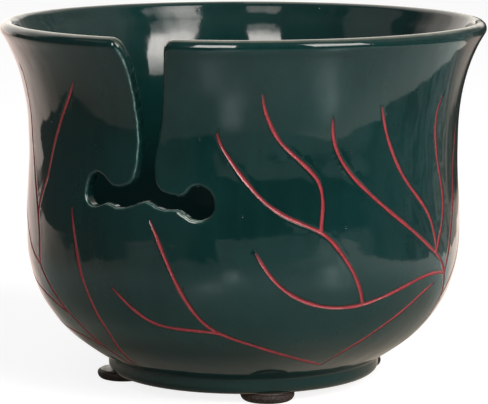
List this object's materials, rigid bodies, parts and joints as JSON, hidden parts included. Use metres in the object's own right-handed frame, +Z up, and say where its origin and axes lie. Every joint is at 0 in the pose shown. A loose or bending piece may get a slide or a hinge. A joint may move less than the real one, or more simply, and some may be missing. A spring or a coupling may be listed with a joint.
{
  "type": "yarn bowl",
  "caption": "Glazed ceramic yarn bowl with a rim-to-wall yarn slot ending in round eyes, standing on stick-on rubber bumpers.",
  "frame": {"origin": "centre of the bowl's axis on the table plane, under the bumpers", "axes": "+Z up along the bowl's axis; the yarn slot faces -Y; +X is to the right when looking at the slot"},
  "size_m": [0.1738, 0.1736, 0.1308],
  "materials": {
    "glaze": "high-gloss dark teal-green glaze with coral-red inlaid lines",
    "bumper_rubber": "dark brown, satin, finely speckled",
    "adhesive": "clear acrylic adhesive film"
  },
  "bodies": {
    "root": {"bowl": "glaze", "bumper_front_right": "bumper_rubber", "bumper_rear_right": "bumper_rubber", "bumper_rear_left": "bumper_rubber", "bumper_front_left": "bumper_rubber", "adhesive_front_right": "adhesive", "adhesive_rear_right": "adhesive", "adhesive_rear_left": "adhesive", "adhesive_front_left": "adhesive"}
  },
  "joints": []
}
